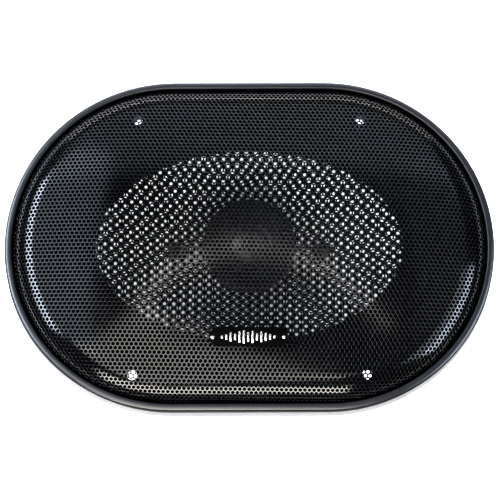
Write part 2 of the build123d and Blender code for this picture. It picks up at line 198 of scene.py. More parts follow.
def arc(centre, radius, start_deg, end_deg, steps):
    """Points along an arc in a profile, both ends included."""
    turn = [math.radians(start_deg + (end_deg - start_deg) * i / steps) for i in range(steps + 1)]
    return [(centre[0] + radius * math.cos(a), centre[1] + radius * math.sin(a)) for a in turn]


def lathe(profile, steps=96):
    """Round piece from a closed profile of (radius, height) in millimetres."""
    bm = bmesh.new()
    add_loop(bm, [(r * MM, 0, z * MM) for r, z in profile])
    bmesh.ops.spin(bm, geom=bm.verts[:] + bm.edges[:], cent=(0, 0, 0), axis=(0, 0, 1),
                   angle=math.tau, steps=steps, use_merge=True)
    return bm


def round_the_stadium(profile, half_straight, half_width, steps=56):
    """Piece that runs round a stadium outline: the profile's points are (inset, height) in mm."""
    bm = bmesh.new()
    add_loop(bm, [(half_straight, -(half_width - t * MM), z * MM) for t, z in profile])
    front = bm.verts[:] + bm.edges[:]
    for side in (1, -1):
        turn = bmesh.ops.spin(bm, geom=front, cent=(side * half_straight, 0, 0), axis=(0, 0, 1),
                              angle=math.pi, steps=steps)
        ends = [g for g in turn["geom_last"] if isinstance(g, bmesh.types.BMEdge)]
        front = bmesh.ops.extrude_edge_only(bm, edges=ends)["geom"]
        front = [g for g in front if not isinstance(g, bmesh.types.BMFace)]
        moved = [g for g in front if isinstance(g, bmesh.types.BMVert)]
        bmesh.ops.translate(bm, verts=moved, vec=(-side * 2 * half_straight, 0, 0))
    return bm


# %% [markdown]
# ## Finishes
# Every finish is a small network on the Principled shader. `finish` makes the shader with its
# plain values; the helpers add noise, bumps and colour changes at the grain's real size, read
# from object coordinates, which are metres here.

# %% Helpers for finishes
def finish(name, color, rough, metal=0.0, **values):
    """Material with plain values; further sockets are named with _ for a space."""
    m = bpy.data.materials.new(name)
    m.use_nodes = True
    shader = m.node_tree.nodes["Principled BSDF"]
    shader.inputs["Base Color"].default_value = (*color, 1)
    shader.inputs["Roughness"].default_value = rough
    shader.inputs["Metallic"].default_value = metal
    for socket, value in values.items():
        shader.inputs[socket.replace("_", " ")].default_value = value
    m.diffuse_color = (*color, 1)
    return m


def node(m, kind, inputs=(), **settings):
    """Shader node whose sockets take a plain value or another node's output."""
    n = m.node_tree.nodes.new(kind)
    for key, value in settings.items():
        setattr(n, key, value)
    for socket, value in dict(inputs).items():
        if isinstance(value, bpy.types.NodeSocket):
            m.node_tree.links.new(value, n.inputs[socket])
        else:
            n.inputs[socket].default_value = value
    return n


def place_of(m, scale=(1, 1, 1)):
    """Object coordinates in metres, stretched along the axes."""
    co = node(m, "ShaderNodeTexCoord").outputs["Object"]
    return node(m, "ShaderNodeMapping", {"Vector": co, "Scale": scale}).outputs["Vector"]


def noise(m, grain_mm, detail=3.0, stretch=(1, 1, 1)):
    """Soft noise whose grain is about grain_mm wide."""
    inputs = {"Vector": place_of(m, stretch), "Scale": 1 / (grain_mm * MM), "Detail": detail}
    return node(m, "ShaderNodeTexNoise", inputs).outputs["Fac"]


def height_of(m):
    """Height over the table, in metres."""
    return node(m, "ShaderNodeSeparateXYZ", {"Vector": place_of(m)}).outputs["Z"]


def between(m, value, low, high, from_low=0.0, from_high=1.0):
    """The value, stretched from its own range to the one from low to high."""
    inputs = {"Value": value, "From Min": from_low, "From Max": from_high,
              "To Min": low, "To Max": high}
    return node(m, "ShaderNodeMapRange", inputs).outputs["Result"]


def bands(m, period_mm, direction):
    """Soft bands across one axis, one every period_mm."""
    inputs = {"Vector": place_of(m), "Scale": math.tau / 20 / (period_mm * MM)}
    wave = node(m, "ShaderNodeTexWave", inputs, bands_direction=direction, wave_profile="SIN")
    return wave.outputs["Fac"]


def math_of(m, operation, a, b):
    """One step of arithmetic; an operation on one number ignores the second."""
    return node(m, "ShaderNodeMath", {0: a, 1: b}, operation=operation).outputs["Value"]


def blend_colors(m, share, a, b):
    """Colour a where share is 0, b where it is 1; each is a colour or a node's output."""
    mix = node(m, "ShaderNodeMix", {"Factor": share}, data_type="RGBA")
    for socket, value in ((6, a), (7, b)):
        if isinstance(value, bpy.types.NodeSocket):
            m.node_tree.links.new(value, mix.inputs[socket])
        else:
            mix.inputs[socket].default_value = (*value, 1)
    return mix.outputs[2]


def feed(m, socket, value):
    """Link a value that changes over the surface to the shader."""
    m.node_tree.links.new(value, m.node_tree.nodes["Principled BSDF"].inputs[socket])


def bump(m, height, depth_mm, strength=0.6):
    """Bump whose full height is depth_mm."""
    inputs = {"Height": height, "Distance": depth_mm * MM, "Strength": strength}
    feed(m, "Normal", node(m, "ShaderNodeBump", inputs).outputs["Normal"])


def dress(m, *names):
    """Give carried-over parts this finish."""
    for name in names:
        mesh = nodes[name].data
        mesh.materials.clear()
        mesh.materials.append(m)


# %% [markdown]
# ## Black plastics and paints
# Moulded black plastic is never one even black: its gloss wanders, and a fine grain breaks the
# reflections. The painted sheet is the smoothest of them here, the rim and the pod have a satin
# skin, and the ring, the basket and the badge are duller. The rim's bead is rubbed bright on its
# crest, while its skirt below stays matt, so its specular level follows the height.

# %% Black finishes
PATCH_MM = 9.0


def black_skin(name, color, rough_low, rough_high, grain_mm, depth_mm, **values):
    """Black skin whose gloss wanders in wide patches over a fine grain of that depth."""
    m = finish(name, color, rough_low, **values)
    patches = noise(m, PATCH_MM, 2.0)
    feed(m, "Roughness", between(m, patches, rough_low, rough_high, 0.35, 0.65))
    grain = noise(m, grain_mm, 2.0)
    bump(m, grain, depth_mm)
    return m


BEAD_MATT_Z, BEAD_BRIGHT_Z = 89.7, 90.15
bead_plastic = black_skin("bead_plastic", (0.010, 0.010, 0.012), 0.33, 0.40, 0.35, 0.006)
bead_shine = between(bead_plastic, height_of(bead_plastic), 0.02, 1.0,
                     BEAD_MATT_Z * MM, BEAD_BRIGHT_Z * MM)
feed(bead_plastic, "Specular IOR Level", bead_shine)
ring_plastic = black_skin("ring_plastic", (0.004, 0.004, 0.004), 0.42, 0.52, 0.30, 0.02,
                          Specular_IOR_Level=0.15)
pod_plastic = black_skin("pod_plastic", (0.005, 0.005, 0.005), 0.30, 0.38, 0.25, 0.012)
sheet_paint = black_skin("sheet_paint", (0.004, 0.004, 0.005), 0.12, 0.16, 0.25, 0.001,
                         Specular_IOR_Level=0.8)
basket_paint = black_skin("basket_paint", (0.012, 0.012, 0.012), 0.40, 0.55, 0.22, 0.03)
badge_enamel = black_skin("badge_enamel", (0.003, 0.003, 0.003), 0.45, 0.55, 0.5, 0.002,
                          Specular_IOR_Level=0.08)
print("black finishes:", bead_plastic.name, ring_plastic.name, pod_plastic.name, sheet_paint.name)

# %% White of the table
white_table = finish("white_table", (0.93, 0.93, 0.93), 0.55)
feed(white_table, "Roughness", between(white_table, noise(white_table, 40.0), 0.5, 0.6))
for o in (floor, wall):
    o.data.materials.append(white_table)
print("set wears:", white_table.name)

# %% [markdown]
# ## Rubber, foam and board
# Rubber is dark and dull, with a fine grain. The foam gasket is grey closed-cell foam: a cell
# pattern pits its cut faces. The trim ring is pressed black fibre board, whose fibres all lie the
# same way, so its noise is squeezed across them.

# %% Soft finishes
FOAM_CELL_MM = 0.7
rubber = black_skin("rubber_black", (0.004, 0.004, 0.004), 0.50, 0.62, 0.4, 0.02,
                    Specular_IOR_Level=0.12)
foam = finish("gasket_foam", (0.28, 0.28, 0.29), 0.85)
pores = node(foam, "ShaderNodeTexVoronoi", {"Vector": place_of(foam), "Scale": 1 / (FOAM_CELL_MM * MM)})
bump(foam, pores.outputs["Distance"], 0.12, 0.5)
clouds = noise(foam, 6.0)
feed(foam, "Base Color", blend_colors(foam, clouds, (0.25, 0.25, 0.255), (0.31, 0.31, 0.315)))
board = finish("fibre_board", (0.010, 0.010, 0.010), 0.8, Specular_IOR_Level=0.1)
fibres = noise(board, 0.5, 4.0, (1, 6, 1))
bump(board, fibres, 0.06)
feed(board, "Base Color", blend_colors(board, fibres, (0.003, 0.003, 0.003), (0.014, 0.013, 0.012)))
dress(foam, "foam_gasket")
dress(board, "surround_trim")
dress(rubber, "magnet_boot")
print("soft finishes: rubber, foam, board")

# %% [markdown]
# ## Metals and hard parts of the motor
# Zinc plate is a soft grey with cloudy patches, and turning and drawing leave fine lines round a
# part, so the scratches are noise that is squeezed along the height. Ferrite is a dark ceramic
# with patchy gloss. The voice coil is copper wire, wound turn by turn on a foil tube, and its
# turns are bands across the height, with painted shade darkening the grooves between them.

# %% Metal finishes
SCRATCH_MM, SCRATCH_SQUEEZE = 0.25, 12


def cloudy_metal(name, dark, light, rough_low, rough_high, cloud_mm):
    """Metal with clouds from dark to light, and fine scratches round it."""
    m = finish(name, light, rough_low, metal=1.0)
    cloud = noise(m, cloud_mm, 4.0)
    feed(m, "Base Color", blend_colors(m, cloud, dark, light))
    scratch = noise(m, SCRATCH_MM, 2.0, (1, 1, SCRATCH_SQUEEZE))
    feed(m, "Roughness", between(m, scratch, rough_low, rough_high, 0.3, 0.7))
    bump(m, scratch, 0.004, 0.4)
    return m


zinc = cloudy_metal("zinc_plate", (0.28, 0.28, 0.27), (0.46, 0.47, 0.46), 0.26, 0.42, 7.0)
bright_steel = cloudy_metal("bright_steel", (0.62, 0.62, 0.62), (0.80, 0.80, 0.80), 0.12, 0.24, 3.0)
spring_steel = cloudy_metal("spring_steel", (0.20, 0.20, 0.21), (0.34, 0.34, 0.35), 0.30, 0.45, 3.0)
tinned_brass = cloudy_metal("tinned_brass", (0.58, 0.52, 0.36), (0.74, 0.70, 0.56), 0.20, 0.34, 4.0)
foil = cloudy_metal("former_foil", (0.62, 0.62, 0.64), (0.80, 0.80, 0.82), 0.20, 0.30, 5.0)
print("metals:", zinc.name, bright_steel.name, spring_steel.name, tinned_brass.name, foil.name)

# %% Ferrite and copper
ferrite = finish("ferrite_grain", (0.035, 0.035, 0.038), 0.55)
specks, clouds = noise(ferrite, 0.35, 2.0), noise(ferrite, 5.0)
feed(ferrite, "Roughness", between(ferrite, specks, 0.35, 0.75, 0.35, 0.65))
feed(ferrite, "Base Color", blend_colors(ferrite, clouds, (0.028, 0.028, 0.031), (0.055, 0.054, 0.056)))
bump(ferrite, specks, 0.05)

WIRE_MM = 0.28
copper = finish("copper_wire", (0.62, 0.25, 0.10), 0.25, metal=1.0, Coat_Weight=0.4)
turns = bands(copper, WIRE_MM, "Z")
bump(copper, turns, 0.10, 0.8)
# The copper is darker in the grooves between the turns: painted shade.
feed(copper, "Base Color", blend_colors(copper, turns, (0.30, 0.10, 0.04), (0.70, 0.30, 0.13)))
print("motor:", ferrite.name, copper.name)

# %% Dress the motor, the basket and the pod
dress(zinc, "yoke_with_pole", "top_plate", "basket_rivets", "centre_post", "post_nut")
dress(zinc, "tweeter_cup", "tweeter_plate")
dress(bright_steel, "badge_pins", "tweeter_magnet")
dress(spring_steel, "badge_push_nuts")
dress(tinned_brass, "cone_eyelets", "terminal_positive", "terminal_negative", "terminal_rivets")
dress(foil, "coil_former")
dress(copper, "coil_winding", "tweeter_coil")
dress(ferrite, "ring_magnet")
dress(basket_paint, "basket")
dress(ring_plastic, "mounting_ring", "grille_retainer")
dress(pod_plastic, "pod_housing", "pod_bezel", "tweeter_carrier")
print("motor, basket and pod wear:", zinc.name, basket_paint.name, pod_plastic.name, ferrite.name)

# %% [markdown]
# ## Insulators and small parts
# The terminal board is brown phenolic sheet, pressed from layers of paper whose fibres still
# show. The capacitor wears a dark blue sleeve with a pale stripe along its top, and the wires a
# plain glossy skin.

# %% Insulator finishes
phenolic = finish("phenolic_sheet", (0.16, 0.06, 0.02), 0.38)
paper = noise(phenolic, 0.8, 4.0, (1, 5, 5))
feed(phenolic, "Base Color", blend_colors(phenolic, paper, (0.10, 0.035, 0.012), (0.22, 0.09, 0.03)))
bump(phenolic, paper, 0.02)
STRIPE_Z = 74.2
sleeve = finish("capacitor_sleeve", (0.02, 0.03, 0.10), 0.22, Coat_Weight=0.5)
on_stripe = math_of(sleeve, "GREATER_THAN", height_of(sleeve), STRIPE_Z * MM)
feed(sleeve, "Base Color", blend_colors(sleeve, on_stripe, (0.02, 0.03, 0.10), (0.5, 0.5, 0.5)))
bump(sleeve, noise(sleeve, 0.6), 0.01)
lead_skin = black_skin("lead_skin", (0.010, 0.010, 0.010), 0.28, 0.36, 0.4, 0.006)
dress(phenolic, "terminal_board")
dress(sleeve, "crossover_capacitor")
print("insulators:", phenolic.name, sleeve.name, lead_skin.name)

# %% [markdown]
# ## Woven finishes
# The cone is woven flat from black and silver ribbons, about two and a half millimetres wide,
# and pressed to shape. A plain weave shows one ribbon over the other in turn, like a chess board,
# and each ribbon bulges between its crossings. The product of two sines gives both: its sign says
# which ribbon is on top, its size how high it stands. The black ribbon is matt, the silver one
# has a shine and fine threads. The spider is amber cotton, the tweeter dome fine black silk, and
# the leads are tinsel braid: the same weave, much finer. On these three the colour darkens where
# the yarns lie low, which is painted shade in the hollows of the weave.

# %% Weave
def weave(m, pitch_mm, tight=0.0):
    """Plain weave on X and Y: (1 where the light yarn is on top, height of the yarns)."""
    split = node(m, "ShaderNodeSeparateXYZ", {"Vector": place_of(m)})
    step = math.pi / (pitch_mm * MM)
    across = math_of(m, "SINE", math_of(m, "MULTIPLY", split.outputs["X"], step), 0.0)
    along = math_of(m, "SINE", math_of(m, "MULTIPLY", split.outputs["Y"], step), 0.0)
    over = math_of(m, "GREATER_THAN", math_of(m, "MULTIPLY", across, along), tight)
    bulge_x = math_of(m, "ABSOLUTE", across, 0.0)
    bulge_y = math_of(m, "ABSOLUTE", along, 0.0)
    height = math_of(m, "POWER", math_of(m, "MULTIPLY", bulge_x, bulge_y), 0.5)
    return over, height


RIBBON_MM, THREAD_MM, COTTON_MM, SILK_MM = 2.45, 0.35, 0.8, 0.35
cone_weave = finish("cone_weave", (0.5, 0.5, 0.5), 0.3)
over, height = weave(cone_weave, RIBBON_MM, 0.2)
threads = bands(cone_weave, THREAD_MM, "X")
silver = blend_colors(cone_weave, threads, (0.70, 0.70, 0.69), (0.92, 0.92, 0.91))
feed(cone_weave, "Base Color", blend_colors(cone_weave, over, (0.003, 0.003, 0.003), silver))
feed(cone_weave, "Roughness", between(cone_weave, over, 0.30, 0.45))
feed(cone_weave, "Specular IOR Level", between(cone_weave, over, 0.04, 0.6))
bump(cone_weave, height, 0.25, 0.7)

spider_cloth = finish("spider_cloth", (0.55, 0.35, 0.12), 0.7, Sheen_Weight=0.2)
height = weave(spider_cloth, COTTON_MM)[1]
cotton = blend_colors(spider_cloth, noise(spider_cloth, 5.0), (0.48, 0.27, 0.08), (0.62, 0.40, 0.15))
# Darker where the yarns lie low: painted shade in the hollows of the weave.
feed(spider_cloth, "Base Color", blend_colors(spider_cloth, height, (0.22, 0.12, 0.04), cotton))
bump(spider_cloth, height, 0.15)

silk = finish("dome_silk", (0.03, 0.03, 0.033), 0.35, Coat_Weight=0.3)
height = weave(silk, SILK_MM)[1]
# Darker where the yarns lie low: painted shade in the hollows of the weave.
feed(silk, "Base Color", blend_colors(silk, height, (0.012, 0.012, 0.013), (0.05, 0.05, 0.055)))
bump(silk, height, 0.04)

braid = finish("tinsel_braid", (0.55, 0.42, 0.30), 0.32, metal=0.9)
height = weave(braid, SILK_MM)[1]
# Darker where the strands lie low: painted shade in the hollows of the braid.
feed(braid, "Base Color", blend_colors(braid, height, (0.22, 0.13, 0.07), (0.72, 0.55, 0.40)))
bump(braid, height, 0.08)
dress(silk, "tweeter_dome")
print("weaves: cone", RIBBON_MM, "mm ribbons, spider", COTTON_MM, "mm, silk", SILK_MM, "mm")

# %% [markdown]
# ## The punched sheet
# The grille sheet is steel with round holes in staggered rows, punched flat and then pressed into
# a dome. It could be a flat plate with a picture of holes, but then nothing would show through
# it, and its edge would be wrong from the side. So it is made as the factory makes it: one cell
# with one hole, repeated by two Array modifiers, cut to the outline, and then every point is
# moved onto the dome. Distances along the sheet are kept, so the rows crowd together on the
# steep shoulder, as they do on pressed steel.

# %% Shape of the dome
half_straight = (rim_high.x - rim_low.x) / 2 - (rim_high.y - rim_low.y) / 2
half_width = (rim_high.y - rim_low.y) / 2
dome_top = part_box("grille_mesh")[1].z
crown_r, shoulder_r, SHOULDER_WIDE = 340 * MM, 20 * MM, 17.5 * MM
seam_angle = math.asin((half_width - SHOULDER_WIDE) / crown_r)
edge_angle = math.radians(60)
crown_run = crown_r * seam_angle
shoulder_run = crown_run + shoulder_r * (edge_angle - seam_angle)
shoulder_centre = ((crown_r - shoulder_r) * math.sin(seam_angle),
                   dome_top - crown_r + (crown_r - shoulder_r) * math.cos(seam_angle))


def on_dome(run):
    """(distance from the middle line, height, slope angle) after that run along the sheet."""
    if run < crown_run:
        a = run / crown_r
        return crown_r * math.sin(a), dome_top - crown_r * (1 - math.cos(a)), a
    a = min(seam_angle + (run - crown_run) / shoulder_r, edge_angle)
    out = shoulder_centre[0] + shoulder_r * math.sin(a)
    up = shoulder_centre[1] + shoulder_r * math.cos(a)
    if run > shoulder_run:
        return out + run - shoulder_run, up, 0.0
    return out, up, a


def press(point, depth=0.0):
    """Where a point of the flat sheet goes when the sheet is pressed; depth is below its skin."""
    spine = max(-half_straight, min(half_straight, point.x))
    away = Vector((point.x - spine, point.y))
    out, up, slope = on_dome(away.length)
    way = away.normalized() if away.length > 1e-9 else Vector((0, 0))
    out -= depth * math.sin(slope)
    return Vector((spine + way.x * out, way.y * out, up - depth * math.cos(slope)))


print("sheet rises", round((dome_top - on_dome(shoulder_run)[1]) / MM, 1), "mm from its edge")

# %% [markdown]
# The cell is a hexagon with a point in the middle of each side, so that it fits its neighbours
# point to point. A second cell beside it makes the staggered row, and the pair is repeated. Later
# a first inset, drawn to a circle, leaves the flat face of the strands; a second one, a little
# lower, is the rolled edge that a punch leaves; and the middle is deleted.
#
# The rows lie a degree off the rim's long side, because a sheet is never fed quite straight.

# %% One cell, repeated
PITCH, TUCK, ROW_TURN = 2.19 * MM, 1.9 * MM, math.radians(-1.1)
CELL_POINTS = 12
sheet_run = shoulder_run + TUCK
row = PITCH * math.sqrt(3) / 2
point_step = math.tau / CELL_POINTS
bm = bmesh.new()
bmesh.ops.create_circle(bm, cap_ends=True, segments=CELL_POINTS, radius=PITCH / math.sqrt(3))
for v in bm.verts:
    if round(math.atan2(v.co.y, v.co.x) / point_step) % 2 == 0:
        v.co *= math.cos(point_step)
second = bmesh.ops.duplicate(bm, geom=bm.verts[:] + bm.edges[:] + bm.faces[:])["geom"]
second = [g for g in second if isinstance(g, bmesh.types.BMVert)]
bmesh.ops.translate(bm, verts=second, vec=(PITCH / 2, row, 0))
cell_mesh = bpy.data.meshes.new("cell")
bm.to_mesh(cell_mesh)
bm.free()
cell = bpy.data.objects.new("cell", cell_mesh)
scene.collection.objects.link(cell)
columns = 2 * math.ceil((half_straight + sheet_run) / PITCH) + 3
double_rows = 2 * math.ceil(sheet_run / (2 * row)) + 3
for count, step in ((columns, (PITCH, 0, 0)), (double_rows, (0, 2 * row, 0))):
    repeat = cell.modifiers.new("repeat", "ARRAY")
    repeat.count, repeat.use_relative_offset, repeat.use_constant_offset = count, False, True
    repeat.constant_offset_displace = step
bm = bmesh.new()
bm.from_object(cell, bpy.context.evaluated_depsgraph_get())
bpy.data.objects.remove(cell)
middle = Vector(((columns - 1) * PITCH / 2, (double_rows - 1) * row, 0))
skew = Matrix.Rotation(ROW_TURN, 4, "Z") @ Matrix.Translation(-middle)
bmesh.ops.transform(bm, matrix=skew, verts=bm.verts)
bmesh.ops.remove_doubles(bm, verts=bm.verts, dist=0.02 * MM)


def run_of(point):
    """How far a point of the flat sheet lies from the middle line."""
    return math.hypot(max(abs(point.x) - half_straight, 0), point.y)


outside = [f for f in bm.faces if run_of(f.calc_center_median()) > sheet_run]
bmesh.ops.delete(bm, geom=outside, context="FACES")
print("flat sheet:", len(bm.faces), "cells in", columns, "columns")

# %% [markdown]
# Now all cells are punched at once. The inset adds a ring of faces inside each cell, and its
# points are then drawn to the circle. Pressing comes last: it moves every point to its place on
# the dome, and the points round a hole a little deeper.

# %% Punch and press the sheet
HOLE_R, ROLLED, ROLLED_DROP = 0.80 * MM, 0.10 * MM, 0.077 * MM
cells = bm.faces[:]
for radius in (HOLE_R + ROLLED, HOLE_R):
    bmesh.ops.inset_individual(bm, faces=cells, thickness=ROLLED, use_even_offset=True)
    for f in cells:
        centre = f.calc_center_median()
        for v in f.verts:
            v.co = centre + (v.co - centre).normalized() * radius
edge_points = {v for f in cells for v in f.verts}
bmesh.ops.delete(bm, geom=cells, context="FACES_ONLY")
for v in bm.verts:
    v.co = press(v.co, ROLLED_DROP if v in edge_points else 0.0)
print("holes:", len(cells), "of", round(2 * HOLE_R / MM, 1), "mm")

# %% [markdown]
# One piece with all these holes would be heavy to handle, so the sheet is split across into bays,
# each its own piece. Solidify gives each bay its thickness and closes its edges. The open edges
# are marked sharp, so that the walls of the holes don't soften the face of the sheet.

# %% Bays of the sheet
BAYS, SHEET = 7, 0.55 * MM
whole = bpy.data.meshes.new("whole_sheet")
bm.to_mesh(whole)
bm.free()
span = rim_high.x - rim_low.x
for bay in range(BAYS):
    low, high = rim_low.x + span * bay / BAYS, rim_low.x + span * (bay + 1) / BAYS
    bm = bmesh.new()
    bm.from_mesh(whole)
    other = [f for f in bm.faces if not low <= f.calc_center_median().x < high]
    bmesh.ops.delete(bm, geom=other, context="FACES")
    bmesh.ops.recalc_face_normals(bm, faces=bm.faces)
    if sum(f.normal.z for f in bm.faces) < 0:
        bmesh.ops.reverse_faces(bm, faces=bm.faces)
    bm.edges.index_update()
    open_edges = [e.index for e in bm.edges if e.is_boundary]
    piece = make_piece(f"grille_sheet_{bay + 1}", bm, "grille", ["grille_mesh"],
                       sharp_deg=34, keep_normals=True)
    for i in open_edges:
        piece.data.edges[i].use_edge_sharp = True
    thick = piece.modifiers.new("thickness", "SOLIDIFY")
    thick.thickness, thick.offset = SHEET, -1
    piece.data.materials.append(sheet_paint)
bpy.data.meshes.remove(whole)

# %% [markdown]
# ## The rim
# The rim is a moulded frame: a thin skirt that hides the flange, and a rounded bead over the edge
# of the sheet. Its section is drawn once and run round the outline: spun round one end, drawn
# along the straight, spun round the other end and drawn back.

# %% Rim
edge_height = on_dome(shoulder_run)[1] / MM
SKIRT_WALL, SKIRT_Z, SKIRT_ROUND, BEAD_WIDE = 1.8, 81.4, 0.3, 4.0
bead = [(SKIRT_WALL, SKIRT_Z), (SKIRT_ROUND, SKIRT_Z), (0.0, SKIRT_Z + SKIRT_ROUND), (0.1, 88.2)]
bead += arc((2.3, 88.4), 2.2, 174, 92, 9)
bead += arc((2.8, 89.4), 1.2, 88, 4, 7)
bead += [(BEAD_WIDE, edge_height + 0.1), (BEAD_WIDE - 0.1, edge_height), (SKIRT_WALL, edge_height)]
rim_shape = round_the_stadium(bead, half_straight, half_width)
rim = make_piece("rim", rim_shape, "grille", ["grille_rim"])
rim.data.materials.append(bead_plastic)

# %% [markdown]
# ## Oval pieces
# The cone and its rubber roll are ovals whose shape changes from ring to ring, so a lathe can't
# make them. They start as one circle, scaled to an oval, and each next ring is extruded from the
# last one and scaled and lifted into place. A section that comes back to its start is closed.

# %% Helper for ovals
def oval_rings(stations, steps=144):
    """Piece made of oval rings, each given by its half axes and height in millimetres."""
    bm = bmesh.new()
    wide, deep, up = stations[0]
    bmesh.ops.create_circle(bm, segments=steps, radius=1.0)
    bmesh.ops.scale(bm, vec=(wide * MM, deep * MM, 1), verts=bm.verts)
    bmesh.ops.translate(bm, vec=(0, 0, up * MM), verts=bm.verts)
    ring = bm.edges[:]
    for new_wide, new_deep, new_up in stations[1:]:
        grown = bmesh.ops.extrude_edge_only(bm, edges=ring)["geom"]
        verts = [g for g in grown if isinstance(g, bmesh.types.BMVert)]
        ring = [g for g in grown if isinstance(g, bmesh.types.BMEdge)]
        bmesh.ops.scale(bm, vec=(new_wide / wide, new_deep / deep, 1), verts=verts)
        bmesh.ops.translate(bm, vec=(0, 0, (new_up - up) * MM), verts=verts)
        wide, deep, up = new_wide, new_deep, new_up
    return bm


# %% [markdown]
# ## The cone
# The woven skin is pressed into a bowl that is round at the voice coil and oval at its edge, and
# it ends in a flat lip that carries the rubber. Its wall bows a little, as pressed cloth does.

# %% Cone
NECK_R, NECK_Z = 13.2, 49.5
CONE_WIDE, CONE_DEEP, LIP_Z = 76.6, 48.4, 81.0
CONE_WALL, BOW, CONE_RINGS = 0.8, 0.9, 24
LIP_WIDE, LIP_T = 3.4, 0.5


def on_cone(share, wall=0.0):
    """Half axes and height at that share of the way up, on the skin or under its wall."""
    sag = BOW * math.sin(math.pi * share)
    under = 0.4 * wall if share < 1 else 0
    return (NECK_R + (CONE_WIDE - NECK_R) * share + 0.7 * wall,
            NECK_R + (CONE_DEEP - NECK_R) * share + 0.7 * wall,
            NECK_Z + (LIP_Z + LIP_T - NECK_Z) * share - sag - under)


skin = [on_cone(i / CONE_RINGS) for i in range(CONE_RINGS + 1)]
skin += [(CONE_WIDE + LIP_WIDE, CONE_DEEP + LIP_WIDE, LIP_Z + up) for up in (LIP_T - 0.02, 0.05)]
skin.append((CONE_WIDE + 1.0, CONE_DEEP + 1.0, LIP_Z))
skin += [on_cone(i / CONE_RINGS, CONE_WALL) for i in range(CONE_RINGS - 1, -1, -1)]
skin.append(skin[0])
cone = make_piece("woven_cone", oval_rings(skin), "cone_assembly", ["cone"])
cone.data.materials.append(cone_weave)

# %% [markdown]
# ## The rubber roll
# The surround is one moulded half roll with two feet: the inner foot is glued to the cone's lip,
# the outer one to the flange. It bends between two bodies, the cone and the frame, but here it
# rides on neither: its place is baked into its points.

# %% Surround
ROLL_WIDE, ROLL_DEEP = 86.8, 56.1  # half axes of the roll's crest
ROLL_HALF_X, ROLL_HALF_Y, ROLL_UP, ROLL_BASE = 7.6, 5.4, 6.3, 81.6
RUBBER_T, ROLL_STEPS = 0.6, 16
CONE_FOOT, RING_FOOT = (76.7, 48.5), (99.9, 67.0)  # half axes at the end of each foot


def on_roll(turn, inside=0.0):
    """Half axes and height on the roll's back, or that far inside it."""
    return (ROLL_WIDE - (ROLL_HALF_X - inside) * math.cos(turn),
            ROLL_DEEP - (ROLL_HALF_Y - inside) * math.cos(turn),
            ROLL_BASE + (ROLL_UP - inside) * math.sin(turn))


def flex(piece):
    """Bake the piece's place into its points; nothing bends it."""
    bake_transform(piece)


def foot(end, outwards, *heights):
    """Stations one above the other, that far outwards from the end of a foot."""
    return [(end[0] + outwards, end[1] + outwards, up) for up in heights]


turns = [math.pi * i / ROLL_STEPS for i in range(1, ROLL_STEPS)]
roll = foot(CONE_FOOT, 0, 81.55, 82.05) + foot(CONE_FOOT, 0.3, 82.15)
roll += [(79.0, 50.5, 82.12)] + [on_roll(turn) for turn in turns]
roll += foot(RING_FOOT, -5.3, 82.05) + foot(RING_FOOT, -0.1, 82.05)
roll += foot(RING_FOOT, 0, 81.9, 81.25) + foot(RING_FOOT, -5.7, 81.25)
roll += [on_roll(turn, RUBBER_T) for turn in reversed(turns)]
roll += foot(CONE_FOOT, 2.9, 81.55) + foot(CONE_FOOT, 0, 81.55)
surround = make_piece("rubber_surround", oval_rings(roll), "", ["surround"])
surround.data.materials.append(rubber)
flex(surround)

# %% [markdown]
# ## The spider
# The spider centres the voice coil. It is a round cloth, pressed into five even ripples while its
# resin cures, and glued to the coil tube inside and to the basket's step outside. A sine makes
# its section and a lathe turns it; like the surround, it rides on no body.

# %% Spider
SPIDER_IN, SPIDER_FOOT, SPIDER_OUT = 13.17, 41.0, 46.5
STEP_Z, CLOTH_T, RIPPLES, RIPPLE_UP, POINTS = 44.0, 0.5, 5, 1.5, 60


def ripple(share):
    """Height of the cloth at that share of the way out; the ripples fade at both ends."""
    ease = min(1.0, 8 * share, 8 * (1 - share))
    return STEP_Z + RIPPLE_UP * ease * (0.5 - 0.5 * math.cos(math.tau * RIPPLES * share))


shares = [i / POINTS for i in range(POINTS + 1)]
low_side = [(SPIDER_IN + (SPIDER_FOOT - SPIDER_IN) * share, ripple(share)) for share in shares]
low_side.append((SPIDER_OUT, STEP_Z))
high_side = [(r, z + CLOTH_T) for r, z in reversed(low_side)]
spider = make_piece("spider_cloth", lathe(low_side + high_side, 112), "", ["spider"],
                    sharp_deg=60)
spider.data.materials.append(spider_cloth)
flex(spider)

# %% [markdown]
# ## The tweeter's edge
# The tweeter's dome hangs in a small half roll of the same coated silk, glued to the carrier
# outside. It is turned like the spider, and like it rides on no body.

# %% Edge of the tweeter
EDGE_IN, EDGE_ROLL, EDGE_OUT, EDGE_Z, SILK_T = 10.05, 12.9, 16.0, 78.0, 0.3
DOME_GLUE, EDGE_UP, DOME_STEP = 10.3, 1.0, 0.1


def on_edge(share):
    """Radius and height at that share of the way from the dome to the flat rim."""
    return (EDGE_IN + (EDGE_ROLL - EDGE_IN) * share,
            EDGE_Z + DOME_STEP * (1 - share) + EDGE_UP * math.sin(math.pi * share))


under = [on_edge(i / 12) for i in range(13)] + [(EDGE_OUT, EDGE_Z)]
above = [(r, z + SILK_T) for r, z in reversed(under)]
tweeter_edge = make_piece("silk_edge", lathe(under + above, 72), "", ["tweeter_edge"])
tweeter_edge.data.materials.append(silk)
flex(tweeter_edge)
